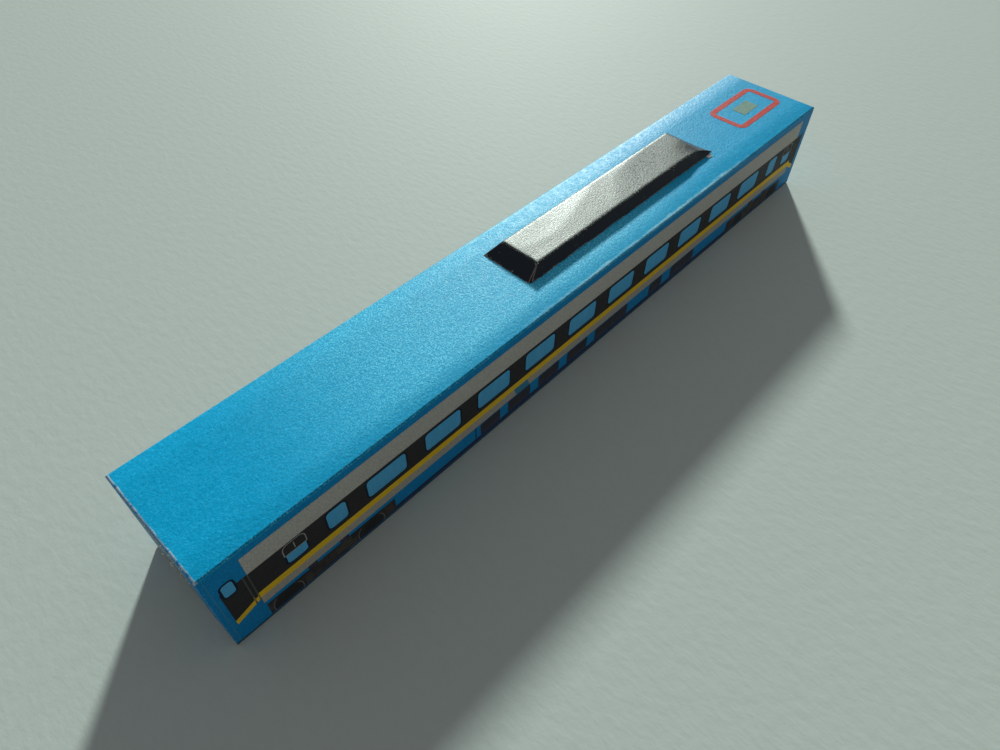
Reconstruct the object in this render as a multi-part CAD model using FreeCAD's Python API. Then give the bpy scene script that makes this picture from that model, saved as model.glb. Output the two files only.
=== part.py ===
"""Paper model of a passenger coach: one folded card box with its printed sides,
and a separate folded lid on the roof.

Millimetres, +X along the coach, +Y across it, +Z up. The origin is the middle of
the base, on the table. The near side faces -Y and the door end is at -X. Each
printed colour is a thin skin on the card that carries it.
"""
import FreeCAD, Part
import math
import os

# Card and ink
CARD = 0.25
INK = 0.03
FOLD_RADIUS = 0.3
WIDTH = 20.1

# Livery bands, stacked from the roof fold down to the table; together they give the height
ROOF_EDGE_HEIGHT = 1.6
GREY_HEIGHT = 3.8
BLACK_HEIGHT = 5.3
YELLOW_HEIGHT = 1.3
LOWER_GREY_HEIGHT = 1.7
SKIRT_HEIGHT = 4.4
BAND_DOOR_MARGIN = 5.1
BAND_PLAIN_MARGIN = 3.7

# The row of saloon windows; with the margins at its ends it gives the length
WINDOW_COUNT = 10
WINDOW_PITCH = 10.42
WINDOW_LENGTH = 6.75
WINDOW_DOOR_MARGIN = 23.0
WINDOW_PLAIN_MARGIN = 18.87
WINDOW_TOP_GAP = 0.65
WINDOW_FOOT_GAP = 1.0
WINDOW_CORNER = 0.6
WINDOW_LINE = 0.3

# A square window and one that opens at the top, at each end of the row
SQUARE_LENGTH = 3.1
SQUARE_DOOR_MARGIN = 16.4
SQUARE_PLAIN_MARGIN = 11.5
VENT_LENGTH = 3.5
VENT_DOOR_MARGIN = 9.75
VENT_PLAIN_MARGIN = 5.1
VENT_TOP_GAP = 0.2
VENT_FOOT_GAP = 0.9
VENT_CORNER = 0.9
VENT_LINE = 0.15
VENT_FLAP_HEIGHT = 2.3
VENT_TICK_HEIGHT = 1.3
VENT_PANE_INSET = 0.25

# Door end: black patch, its pane, the slanted stripe and the door's edges
PATCH_MARGIN = 1.4
PATCH_DROP = 0.5
PATCH_SLANT = 1.4
PATCH_STRIPE = 1.05
DOOR_PANE_LENGTH = 1.5
DOOR_PANE_HEIGHT = 2.65
DOOR_PANE_RISE = 1.3
DOOR_PANE_INSET = 0.45
DOOR_PANE_CORNER = 0.45
POST_LINE = 0.2
POST_SPACING = 0.6
POST_TAIL = 0.5

# Printed bogies in the skirt
BOGIE_LENGTH = 21.4
BOGIE_MARGIN = 5.4
BOGIE_FOOT = 0.7
BOGIE_GAP = 0.8
BOGIE_OUTER_NOSE = 0.5
BOGIE_INNER_NOSE = 2.1
WHEEL_RADIUS = 2.4
WHEEL_AXLE_RISE = 0.8
WHEEL_RIM_LINE = 0.16
STOP_LENGTH = 1.45
STOP_SPACING = 5.25
STOP_CLEARANCE = 0.1
SPRING_LENGTH = 1.2
SPRING_HEIGHT = 1.5
SPRING_OFFSET = 3.3
BOLSTER_LENGTH = 2.7
BOLSTER_HEIGHT = 1.8
BOLSTER_OFFSET = 2.3

# Printed underframe between the bogies
SOLE_FOOT = 0.7
SOLE_HEIGHT = 0.8
BOX_GAP = 0.2
BOX_CORNER = 0.35
RULE_LINE = 0.2
FILLER_LENGTH = 3.1
FILLER_SLANT = 0.6
BOX_START_SHARES = (0.197, 0.267, 0.349, 0.431, 0.516, 0.697, 0.775)
BOX_LENGTH_SHARES = (0.049, 0.059, 0.058, 0.060, 0.105, 0.045, 0.087)
RULE_START_SHARE = 0.184
FILLER_START_SHARE = 0.281

# Gangway print on both ends
GANGWAY_WIDTH = 8.6
GANGWAY_FOOT = 1.4
GANGWAY_TOP_GAP = 0.8
GANGWAY_LINE = 1.5

# Plain roof hatch print near the plain end
HATCH_LENGTH = 15.6
HATCH_WIDTH = 8.4
HATCH_LINE = 1.2
HATCH_CORNER = 1.6
HATCH_PANEL_LENGTH = 5.2
HATCH_PANEL_WIDTH = 3.0
HATCH_PLAIN_MARGIN = 2.6

# Lid on the roof: a hipped shell of black card, and the white tab that holds it
LID_LENGTH = 51.4
LID_WIDTH = 10.1
LID_HEIGHT = 1.9
LID_DOOR_RUN = 3.1
LID_PLAIN_RUN = 3.3
LID_SIDE_RUN = 1.35
LID_FOLD_RADIUS = 0.2
LID_PLAIN_MARGIN = 29.7
LID_ASIDE = 0.8
LID_SEAM = 0.09
LID_TAB_LENGTH = 1.2
LID_TAB_WIDTH = 0.6
LID_TAB_INSET = 0.8

# Sizes that follow
LENGTH = (WINDOW_DOOR_MARGIN + WINDOW_PITCH * (WINDOW_COUNT - 1) + WINDOW_LENGTH
          + WINDOW_PLAIN_MARGIN)
SKIRT_TOP = SKIRT_HEIGHT
LOWER_GREY_TOP = SKIRT_TOP + LOWER_GREY_HEIGHT
YELLOW_TOP = LOWER_GREY_TOP + YELLOW_HEIGHT
BLACK_TOP = YELLOW_TOP + BLACK_HEIGHT
HEIGHT = BLACK_TOP + GREY_HEIGHT + ROOF_EDGE_HEIGHT
DOOR_END = -LENGTH / 2
PLAIN_END = LENGTH / 2
HALF_WIDTH = WIDTH / 2
INNER_HALF = HALF_WIDTH - CARD
FLAT_HALF = HALF_WIDTH - FOLD_RADIUS
BAND_START = DOOR_END + BAND_DOOR_MARGIN
BAND_STOP = PLAIN_END - BAND_PLAIN_MARGIN
PATCH_START = DOOR_END + PATCH_MARGIN
PATCH_STOP = PLAIN_END - PATCH_MARGIN
PATCH_HIGH = YELLOW_TOP - PATCH_DROP
PATCH_LOW = PATCH_HIGH - PATCH_SLANT
WINDOW_HEIGHT = BLACK_HEIGHT - WINDOW_TOP_GAP - WINDOW_FOOT_GAP
VENT_HEIGHT = BLACK_HEIGHT - VENT_TOP_GAP - VENT_FOOT_GAP
BOX_FOOT = SOLE_FOOT + SOLE_HEIGHT
BOGIE_TOP = SKIRT_TOP - BOGIE_GAP
SOLE_START = DOOR_END + BOGIE_MARGIN + BOGIE_LENGTH
SOLE_LENGTH = LENGTH - (BOGIE_MARGIN + BOGIE_LENGTH) * 2

# Shape of an arc and of a printed corner
QUARTER_TURN = 90.0
CORNER_STEPS = 3


def flat(points):
    """A face from corner points on the side's own plane, X along and Z up."""
    corners = [FreeCAD.Vector(x, 0, z) for x, z in points]
    return Part.Face(Part.makePolygon(corners + corners[:1]))


def rect(start, foot, length, height):
    return flat([(start, foot), (start + length, foot),
                 (start + length, foot + height), (start, foot + height)])


def rounded(start, foot, length, height, corner):
    """A rectangle with rounded corners, each in a few short chords as a plotter draws it."""
    points = []
    stop, top = start + length - corner, foot + height - corner
    centres = ((stop, top), (start + corner, top), (start + corner, foot + corner),
               (stop, foot + corner))
    for quarter, (x, z) in enumerate(centres):
        for step in range(CORNER_STEPS + 1):
            turn = math.radians(QUARTER_TURN * (quarter + step / CORNER_STEPS))
            points.append((x + corner * math.cos(turn), z + corner * math.sin(turn)))
    return flat(points)


def window(start, foot, length, height, corner, grown=0):
    """A rounded pane, or its surround when it is grown all round."""
    return rounded(start - grown, foot - grown, length + grown * 2, height + grown * 2,
                   corner + grown)


def disc(x, z, radius):
    circle = Part.Circle(FreeCAD.Vector(x, 0, z), FreeCAD.Vector(0, 1, 0), radius)
    return Part.Face(Part.Wire(circle.toShape()))


def merged(faces):
    """One region from faces that may overlap or touch."""
    return faces[0].multiFuse(faces[1:]) if len(faces) > 1 else faces[0]


def extruded(region, along):
    """A flat region pushed along a vector, one solid for each island of ink."""
    solids = [face.extrude(along) for face in region.Faces]
    if len(solids) == 1:
        return solids[0]
    islands = solids[0].multiFuse(solids[1:]).removeSplitter().Solids
    return islands[0] if len(islands) == 1 else Part.makeCompound(islands)


def bend(y, z, quarter):
    """Quarter ring of bent card about a centre in the YZ plane."""
    centre = FreeCAD.Vector(0, y, z)

    def at(radius, quarters):
        turn = math.radians(QUARTER_TURN * quarters)
        return centre + FreeCAD.Vector(0, math.cos(turn), math.sin(turn)) * radius

    outer, inner = FOLD_RADIUS, FOLD_RADIUS - CARD
    middle, stop = quarter + 1 / 2, quarter + 1
    edges = [Part.Arc(at(outer, quarter), at(outer, middle), at(outer, stop)),
             Part.LineSegment(at(outer, stop), at(inner, stop)),
             Part.Arc(at(inner, stop), at(inner, middle), at(inner, quarter)),
             Part.LineSegment(at(inner, quarter), at(outer, quarter))]
    return Part.Face(Part.Wire([edge.toShape() for edge in edges]))


def folded_plate(foot, fold_z, quarters, reach):
    """A level card plate with its two long edges bent towards the sides."""
    plate = Part.makeBox(reach * 2, FLAT_HALF * 2, CARD, FreeCAD.Vector(-reach, -FLAT_HALF, foot))
    for side, quarter in zip((1, -1), quarters):
        ring = bend(side * FLAT_HALF, fold_z, quarter)
        ring.translate(FreeCAD.Vector(-reach, 0, 0))
        plate = plate.fuse(ring.extrude(FreeCAD.Vector(reach * 2, 0, 0)))
    return plate.removeSplitter()


def roof_panel():
    """The roof with its long folds, up to the folds that carry the two ends."""
    return folded_plate(HEIGHT - CARD, HEIGHT - FOLD_RADIUS, (0, 1), PLAIN_END - FOLD_RADIUS)


def base_panel():
    return folded_plate(0, FOLD_RADIUS, (3, 2), PLAIN_END)


def side_panel():
    """The near side between its two folds, cut square at both ends."""
    return Part.makeBox(LENGTH, CARD, HEIGHT - FOLD_RADIUS * 2,
                        FreeCAD.Vector(DOOR_END, -HALF_WIDTH, FOLD_RADIUS))


def box_envelope():
    """The whole coach box as one block, its four long edges rounded by the folds."""
    block = Part.makeBox(LENGTH, WIDTH, HEIGHT, FreeCAD.Vector(DOOR_END, -HALF_WIDTH, 0))
    folds = [edge for edge in block.Edges
             if abs(edge.tangentAt(edge.FirstParameter).dot(FreeCAD.Vector(1, 0, 0))) == 1]
    return block.makeFillet(FOLD_RADIUS, folds)


def end_panel():
    """The plain end: a plate between the sides, bent over at the top to meet the roof."""
    plate = Part.makeBox(CARD, INNER_HALF * 2, HEIGHT - FOLD_RADIUS - CARD,
                         FreeCAD.Vector(PLAIN_END - CARD, -INNER_HALF, CARD))
    fold = bend(PLAIN_END - FOLD_RADIUS, HEIGHT - FOLD_RADIUS, 0)
    fold.rotate(FreeCAD.Vector(), FreeCAD.Vector(0, 0, 1), -QUARTER_TURN)
    fold.translate(FreeCAD.Vector(0, -HALF_WIDTH, 0))
    panel = plate.fuse(fold.extrude(FreeCAD.Vector(0, WIDTH, 0))).removeSplitter()
    return panel.common(box_envelope())


def saloon_windows(grown=0):
    """The ten saloon windows and the square one at each end of them."""
    foot = YELLOW_TOP + WINDOW_FOOT_GAP
    places = [(DOOR_END + WINDOW_DOOR_MARGIN + WINDOW_PITCH * n, WINDOW_LENGTH)
              for n in range(WINDOW_COUNT)]
    places.append((DOOR_END + SQUARE_DOOR_MARGIN, SQUARE_LENGTH))
    places.append((PLAIN_END - SQUARE_PLAIN_MARGIN - SQUARE_LENGTH, SQUARE_LENGTH))
    return [window(start, foot, length, WINDOW_HEIGHT, WINDOW_CORNER, grown)
            for start, length in places]


def door_window(grown=0):
    return window(PATCH_START + DOOR_PANE_INSET, BLACK_TOP + DOOR_PANE_RISE - DOOR_PANE_HEIGHT,
                  DOOR_PANE_LENGTH, DOOR_PANE_HEIGHT, DOOR_PANE_CORNER, grown)


def vent_starts():
    return (DOOR_END + VENT_DOOR_MARGIN, PLAIN_END - VENT_PLAIN_MARGIN - VENT_LENGTH)


def vent(start, grown=0):
    return window(start, YELLOW_TOP + VENT_FOOT_GAP, VENT_LENGTH, VENT_HEIGHT, VENT_CORNER, grown)


def vent_panes(grown=0):
    """The lower pane of each window that opens at the top, or its surround."""
    foot = YELLOW_TOP + VENT_FOOT_GAP - grown
    inset = VENT_PANE_INSET - grown
    return [vent(start, grown).common(rect(start + inset, foot, VENT_LENGTH - inset * 2,
                                           VENT_HEIGHT - VENT_FLAP_HEIGHT + grown))
            for start in vent_starts()]


def vent_frames():
    """A light line round each opening flap, with the tick of its catch."""
    frames = []
    for start in vent_starts():
        foot = BLACK_TOP - VENT_TOP_GAP - VENT_FLAP_HEIGHT
        flap = vent(start).common(rect(start, foot, VENT_LENGTH, VENT_FLAP_HEIGHT))
        hollow = vent(start, -VENT_LINE).common(rect(start, foot + VENT_LINE, VENT_LENGTH,
                                                     VENT_FLAP_HEIGHT))
        tick = rect(start + (VENT_LENGTH - VENT_LINE) / 2,
                    foot + (VENT_FLAP_HEIGHT - VENT_TICK_HEIGHT) / 2, VENT_LINE, VENT_TICK_HEIGHT)
        frames += [flap.cut(hollow), tick]
    return frames


def patch_limits():
    """For each end, the patch's inner and outer limits along the coach."""
    return ((BAND_START, PATCH_START), (BAND_STOP, PATCH_STOP))


def black_band():
    """The window band, with a patch beyond it at each end that slants down and outwards."""
    patches = [flat([(inner, BLACK_TOP), (outer, BLACK_TOP), (outer, PATCH_LOW),
                     (inner, PATCH_HIGH)]) for inner, outer in patch_limits()]
    return [rect(BAND_START, YELLOW_TOP, BAND_STOP - BAND_START, BLACK_HEIGHT)] + patches


def yellow_stripe():
    """The stripe under the window band, with a slanting tail under each black patch."""
    tails = [flat([(inner, PATCH_HIGH), (outer, PATCH_LOW), (outer, PATCH_LOW - PATCH_STRIPE),
                   (inner, PATCH_HIGH - PATCH_STRIPE)]) for inner, outer in patch_limits()]
    return [rect(BAND_START, LOWER_GREY_TOP, BAND_STOP - BAND_START, YELLOW_HEIGHT)] + tails


def door_posts():
    """Two thin lines at the edges of the door's frame."""
    foot = SKIRT_TOP - POST_TAIL
    return [rect(x - POST_LINE / 2, foot, POST_LINE, BLACK_TOP - foot)
            for x in (BAND_START - POST_SPACING, BAND_START)]


def bogie_frames():
    """For each bogie, the start of its outer end and the way in from it along the coach."""
    return ((DOOR_END + BOGIE_MARGIN, 1), (PLAIN_END - BOGIE_MARGIN, -1))


def bogie_rect(outer, inward, offset, foot, length, height):
    """A rectangle a given way in from a bogie's outer end."""
    near_end = outer + inward * offset
    return rect(min(near_end, near_end + inward * length), foot, length, height)


def axle_offsets():
    """The two axles' distances from a bogie's outer end."""
    return (BOGIE_OUTER_NOSE + WHEEL_RADIUS, BOGIE_LENGTH - BOGIE_INNER_NOSE - WHEEL_RADIUS)


def bogies():
    """Bogie silhouettes: a deep beam with two stops standing on it."""
    shapes = []
    for outer, inward in bogie_frames():
        shapes.append(bogie_rect(outer, inward, 0, BOGIE_FOOT, BOGIE_LENGTH,
                                 BOGIE_TOP - BOGIE_FOOT))
        middle = sum(axle_offsets()) / 2
        for side in (-1, 1):
            offset = middle + (side * STOP_SPACING - STOP_LENGTH) / 2
            shapes.append(bogie_rect(outer, inward, offset, BOGIE_TOP, STOP_LENGTH,
                                     BOGIE_GAP - STOP_CLEARANCE))
    return shapes


def wheel_rims():
    """Thin light arcs at the two flanks of each printed wheel."""
    rims = []
    for outer, inward in bogie_frames():
        for offset in axle_offsets():
            x, z = outer + inward * offset, BOGIE_FOOT + WHEEL_AXLE_RISE
            ring = disc(x, z, WHEEL_RADIUS).cut(disc(x, z, WHEEL_RADIUS - WHEEL_RIM_LINE))
            flank = WHEEL_RADIUS / 2
            for start in (x - WHEEL_RADIUS, x + flank):
                rims += ring.common(rect(start, BOGIE_FOOT, flank, WHEEL_RADIUS)).Faces
    return rims


def bogie_springs():
    """A spring inboard of each axle, drawn as an upright block."""
    return [bogie_rect(outer, inward, offset + toward * SPRING_OFFSET - SPRING_LENGTH / 2,
                       BOGIE_FOOT, SPRING_LENGTH, SPRING_HEIGHT)
            for outer, inward in bogie_frames()
            for offset, toward in zip(axle_offsets(), (1, -1))]


def bolsters():
    """The lighter block beside the middle of each bogie."""
    middle = sum(axle_offsets()) / 2
    return [bogie_rect(outer, inward, middle + BOLSTER_OFFSET - BOLSTER_LENGTH / 2,
                       BOGIE_FOOT + SOLE_HEIGHT, BOLSTER_LENGTH, BOLSTER_HEIGHT)
            for outer, inward in bogie_frames()]


def sole_strip():
    """The dark strip along the foot of the skirt, with one upright rule line on it."""
    return [rect(SOLE_START, SOLE_FOOT, SOLE_LENGTH, SOLE_HEIGHT),
            rect(SOLE_START + SOLE_LENGTH * RULE_START_SHARE, BOX_FOOT, RULE_LINE,
                 SKIRT_TOP - BOX_FOOT)]


def underframe_boxes():
    return [rounded(SOLE_START + SOLE_LENGTH * start, BOX_FOOT, SOLE_LENGTH * length,
                    SKIRT_TOP - BOX_GAP - BOX_FOOT, BOX_CORNER)
            for start, length in zip(BOX_START_SHARES, BOX_LENGTH_SHARES)]


def filler():
    """A small slanted flap in the lower grey band."""
    left = SOLE_START + SOLE_LENGTH * FILLER_START_SHARE
    right = left + FILLER_LENGTH
    return [flat([(left, LOWER_GREY_TOP), (right, LOWER_GREY_TOP),
                  (right + FILLER_SLANT, SKIRT_TOP), (left + FILLER_SLANT, SKIRT_TOP)])]


def livery():
    """The side's colours from the ground up, each knocked out of those under it."""
    band_length = BAND_STOP - BAND_START
    layers = [
        ("grey_band", [rect(BAND_START, BLACK_TOP, band_length, GREY_HEIGHT)]),
        ("lower_grey_band", [rect(BAND_START, SKIRT_TOP, band_length, LOWER_GREY_HEIGHT)]),
        ("black_band", black_band()),
        ("yellow_stripe", yellow_stripe()),
        ("door_posts", door_posts()),
        ("window_lines", saloon_windows(WINDOW_LINE) + [door_window(WINDOW_LINE)]
         + vent_panes(WINDOW_LINE)),
        ("window_panes", saloon_windows() + [door_window()] + vent_panes()),
        ("vent_frames", vent_frames()),
        ("filler_flap", filler()),
        ("sole_strip", sole_strip()),
        ("underframe_boxes", underframe_boxes()),
        ("bogies", bogies()),
        ("bogie_springs", bogie_springs()),
        ("bolsters", bolsters()),
        ("wheel_rims", wheel_rims()),
    ]
    regions = {}
    for place, (name, faces) in enumerate(layers):
        region = merged(faces)
        for _, above in layers[place + 1:]:
            region = region.cut(Part.makeCompound(above))
        regions[name] = region
    return regions


def side_skin(region):
    """Ink on the near side's outer face."""
    skin = extruded(region, FreeCAD.Vector(0, -INK, 0))
    skin.translate(FreeCAD.Vector(0, -HALF_WIDTH, 0))
    return skin


def end_skin(region):
    """Ink on the plain end's outer face."""
    skin = extruded(region, FreeCAD.Vector(0, -INK, 0))
    skin.rotate(FreeCAD.Vector(), FreeCAD.Vector(0, 0, 1), QUARTER_TURN)
    skin.translate(FreeCAD.Vector(PLAIN_END, 0, 0))
    return skin


def roof_skin(region):
    """Ink on the roof's upper face."""
    skin = extruded(region, FreeCAD.Vector(0, -INK, 0))
    skin.rotate(FreeCAD.Vector(), FreeCAD.Vector(1, 0, 0), -QUARTER_TURN)
    skin.translate(FreeCAD.Vector(0, 0, HEIGHT))
    return skin


def gangway():
    """The gangway print: a pale surround and the darker door in it."""
    height = HEIGHT - GANGWAY_FOOT - GANGWAY_TOP_GAP
    outer = rect(-GANGWAY_WIDTH / 2, GANGWAY_FOOT, GANGWAY_WIDTH, height)
    door = rect(GANGWAY_LINE - GANGWAY_WIDTH / 2, GANGWAY_FOOT,
                GANGWAY_WIDTH - GANGWAY_LINE * 2, height - GANGWAY_LINE)
    return outer.cut(door), door


def roof_hatch():
    """The hatch print: a line frame with a plain panel in the middle of it."""
    start = PLAIN_END - HATCH_PLAIN_MARGIN - HATCH_LENGTH
    outer = window(start, -HATCH_WIDTH / 2, HATCH_LENGTH, HATCH_WIDTH, HATCH_CORNER)
    inner = window(start, -HATCH_WIDTH / 2, HATCH_LENGTH, HATCH_WIDTH, HATCH_CORNER, -HATCH_LINE)
    panel = rect(start + (HATCH_LENGTH - HATCH_PANEL_LENGTH) / 2, -HATCH_PANEL_WIDTH / 2,
                 HATCH_PANEL_LENGTH, HATCH_PANEL_WIDTH)
    return outer.cut(inner), panel


def lid_limits(inset, rise):
    """The lid's rectangle at a height above the roof, its faces moved in by inset."""
    stop = PLAIN_END - LID_PLAIN_MARGIN
    near = LID_ASIDE - LID_WIDTH / 2

    def moved(run):
        return run * rise / LID_HEIGHT + inset * math.hypot(run, LID_HEIGHT) / LID_HEIGHT

    return (stop - LID_LENGTH + moved(LID_DOOR_RUN), stop - moved(LID_PLAIN_RUN),
            near + moved(LID_SIDE_RUN), near + LID_WIDTH - moved(LID_SIDE_RUN))


def hipped(inset):
    """The lid's outer body, or its hollow when the faces are moved in by the card."""
    rise = LID_HEIGHT - inset
    start, stop, near, far = lid_limits(inset, 0)
    top_start, top_stop, top_near, top_far = lid_limits(inset, rise)
    body = Part.makeWedge(start, 0, -far, -top_far, top_start,
                          stop, rise, -near, -top_near, top_stop)
    body.rotate(FreeCAD.Vector(), FreeCAD.Vector(1, 0, 0), QUARTER_TURN)
    body.translate(FreeCAD.Vector(0, 0, HEIGHT))
    return body


def lid_slab(foot, height):
    """Everything on the roof between two levels, as wide and long as the lid."""
    start, stop, near, far = lid_limits(0, 0)
    return Part.makeBox(stop - start, far - near, height,
                        FreeCAD.Vector(start, near, HEIGHT + foot))


def lid_body():
    """The lid's outer body with its four top edges rounded by folding."""
    body = hipped(0)
    top = HEIGHT + LID_HEIGHT
    folds = [edge for edge in body.Edges
             if edge.BoundBox.ZMin + edge.BoundBox.ZMax > top * 2 - CARD]
    return body.makeFillet(LID_FOLD_RADIUS, folds)


def lid_top():
    return lid_body().common(lid_slab(LID_HEIGHT - CARD, CARD))


def seam_blade(low, high):
    """A thin upright blade along one hip, as thick as the open glue seam."""
    along = FreeCAD.Vector(high.x - low.x, high.y - low.y, 0)
    across = FreeCAD.Vector(-along.y, along.x, 0).normalize() * (LID_SEAM / 2)
    start, stop = low - along, high + along
    ring = [start - across, stop - across, stop + across, start + across]
    return Part.Face(Part.makePolygon(ring + ring[:1])).extrude(FreeCAD.Vector(0, 0, LID_HEIGHT))


def lid_slopes():
    """The four sloping sides, parted along the hips by the seams."""
    shell = lid_body().cut(hipped(CARD)).common(lid_slab(0, LID_HEIGHT - CARD))
    start, stop, near, far = lid_limits(0, 0)
    top_start, top_stop, top_near, top_far = lid_limits(0, LID_HEIGHT)
    for low_x, high_x in ((start, top_start), (stop, top_stop)):
        for low_y, high_y in ((near, top_near), (far, top_far)):
            shell = shell.cut(seam_blade(FreeCAD.Vector(low_x, low_y, HEIGHT),
                                         FreeCAD.Vector(high_x, high_y, HEIGHT)))
    by_x = sorted(shell.Solids, key=lambda slope: slope.CenterOfMass.x)
    near_side, far_side = sorted(by_x[1:-1], key=lambda slope: slope.CenterOfMass.y)
    return {"lid_end_left": by_x[0], "lid_end_right": by_x[-1],
            "lid_side_near": near_side, "lid_side_far": far_side}


def lid_tab():
    """A white glue tab that shows beside the foot of the near slope."""
    _, stop, near, _ = lid_limits(0, 0)
    return Part.makeBox(LID_TAB_LENGTH, LID_TAB_WIDTH, CARD,
                        FreeCAD.Vector(stop - LID_TAB_INSET - LID_TAB_LENGTH,
                                       near - LID_TAB_WIDTH, HEIGHT))


def mirrored(shape):
    """The same piece on the far side."""
    return shape.mirror(FreeCAD.Vector(), FreeCAD.Vector(0, 1, 0))


def half_turn(shape):
    """The same piece at the door end."""
    turned = shape.copy()
    turned.rotate(FreeCAD.Vector(), FreeCAD.Vector(0, 0, 1), QUARTER_TURN * 2)
    return turned


def build():
    nodes = {
        "roof_panel": roof_panel(),
        "base_panel": base_panel(),
        "side_panel_near": side_panel(),
        "side_panel_far": mirrored(side_panel()),
        "end_panel_right": end_panel(),
        "end_panel_left": half_turn(end_panel()),
        "lid_top": lid_top(),
        "lid_tab": lid_tab(),
    }
    nodes.update(lid_slopes())
    for name, region in livery().items():
        skin = side_skin(region)
        nodes[name + "_near"] = skin
        nodes[name + "_far"] = mirrored(skin)
    for name, region in zip(("gangway_surround", "gangway_door"), gangway()):
        nodes[name + "_right"] = end_skin(region)
        nodes[name + "_left"] = half_turn(end_skin(region))
    for name, region in zip(("roof_hatch_frame", "roof_hatch_panel"), roof_hatch()):
        nodes[name] = roof_skin(region)
    return nodes


os.makedirs("parts", exist_ok=True)
for node, shape in build().items():
    shape.exportStep("parts/" + node + ".step")
    print(node, len(shape.Solids), "solids", "valid" if shape.isValid() else "not valid")
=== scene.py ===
"""Looks of the folded-card passenger coach.

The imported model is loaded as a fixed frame. Its card panels and printed colours
keep their shapes and get their finishes here. The lid is folded anew from one
sheet, with its wandering cut edges, its glue flap and the torn white tab. Loose
fibres, the camera, the lamps and the table are added.
"""

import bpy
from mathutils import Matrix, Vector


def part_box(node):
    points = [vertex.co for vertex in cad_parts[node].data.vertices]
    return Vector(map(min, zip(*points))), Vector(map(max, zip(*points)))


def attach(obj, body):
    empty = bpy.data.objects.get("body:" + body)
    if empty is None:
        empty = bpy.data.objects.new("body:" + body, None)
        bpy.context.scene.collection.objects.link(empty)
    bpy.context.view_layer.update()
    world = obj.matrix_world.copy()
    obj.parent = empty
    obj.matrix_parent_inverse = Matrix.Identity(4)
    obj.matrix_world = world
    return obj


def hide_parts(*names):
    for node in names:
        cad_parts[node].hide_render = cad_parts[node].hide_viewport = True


bl_info = {
    "name": "Folded-card coach",
    "version": (1, 0, 0),
    "blender": (4, 5, 0),
    "location": "View3D > Sidebar > Card coach",
    "description": "Card, print, lid and table for a small folded-card passenger coach",
    "category": "Object",
}

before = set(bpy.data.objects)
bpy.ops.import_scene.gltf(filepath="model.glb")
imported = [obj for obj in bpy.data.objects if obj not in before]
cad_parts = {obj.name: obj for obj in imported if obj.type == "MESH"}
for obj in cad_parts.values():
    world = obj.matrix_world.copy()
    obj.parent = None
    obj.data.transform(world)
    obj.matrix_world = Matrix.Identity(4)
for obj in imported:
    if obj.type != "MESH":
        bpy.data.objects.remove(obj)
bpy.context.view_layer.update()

import math
import bmesh
import bpy
from bpy.props import FloatProperty, FloatVectorProperty, IntProperty, PointerProperty
from mathutils import Matrix, Vector, noise

MM = 0.001
ROOF_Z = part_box("roof_panel")[1][2]
SIDE_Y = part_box("side_panel_far")[1][1]
END_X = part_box("side_panel_far")[1][0]
LID_LOW = (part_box("lid_end_left")[0][0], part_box("lid_side_near")[0][1])
LID_HIGH = (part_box("lid_end_right")[1][0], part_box("lid_side_far")[1][1])
LID_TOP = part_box("lid_top")[1][2]

# In millimetres, for the finishes: the box's half length, half width and height, and the stripe's foot
HALF_LONG, HALF_WIDE, TOP = END_X / MM, SIDE_Y / MM, ROOF_Z / MM
STRIPE_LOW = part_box("lower_grey_band_near")[1][2] / MM

# In millimetres: the two axles of a bogie from the coach's middle, and their height
AXLES, AXLE_HIGH = (62.9, 48.9), 1.5

# How shiny the print, the lid's top and its slopes are
PRINT_GLOSS, TOP_GLOSS, SLOPE_GLOSS = 0.08, 0.5, 0.18

# How far in from the long folds the card bends, in millimetres, and by how many grains
BEND_REACH, BEND = 4.0, 12.0

# Radius of a loose fibre, and width of the glue flap in the lid's open corner
FIBRE_RADIUS = 0.017 * MM
FLAP_WIDTH = 2.2 * MM

# The camera, as fitted to the box's corners and the row of windows
LENS, SENSOR = 25.406, 36.0
CAMERA_PLACE = Vector((-0.072705, -0.055849, 0.091211))
CAMERA_RIGHT = Vector((0.68636, -0.72715, 0.01255))
CAMERA_UP = Vector((0.54584, 0.52646, 0.65184))

# The low lamp's height above the table, turn off the long axis and width, in degrees
KEY_HEIGHT, KEY_TURN, KEY_WIDTH = 22, 42, 5
FILL_PLACE, FILL_SIZE = Vector((-0.30, -0.34, 0.34)), 0.36

# The table's half width, and the depth of its grain
TABLE_REACH, TABLE_GRAIN = 6, 0.00006


def ink(red, green, blue):
    """A colour in the usual 0 to 255 steps, turned to the linear values that shaders use."""
    return tuple(((c / 255 + 0.055) / 1.055) ** 2.4 if c > 10 else c / 255 / 12.92
                 for c in (red, green, blue))


def colour(name, about, value):
    return FloatVectorProperty(name=name, description=about, subtype="COLOR", size=3,
                               min=0, max=1, default=ink(*value))


def length(name, about, millimetres):
    return FloatProperty(name=name, description=about, subtype="DISTANCE", unit="LENGTH",
                         default=millimetres * MM, precision=5)


def share(name, about, value):
    return FloatProperty(name=name, description=about, subtype="FACTOR", min=0, max=1,
                         default=value)


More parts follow.
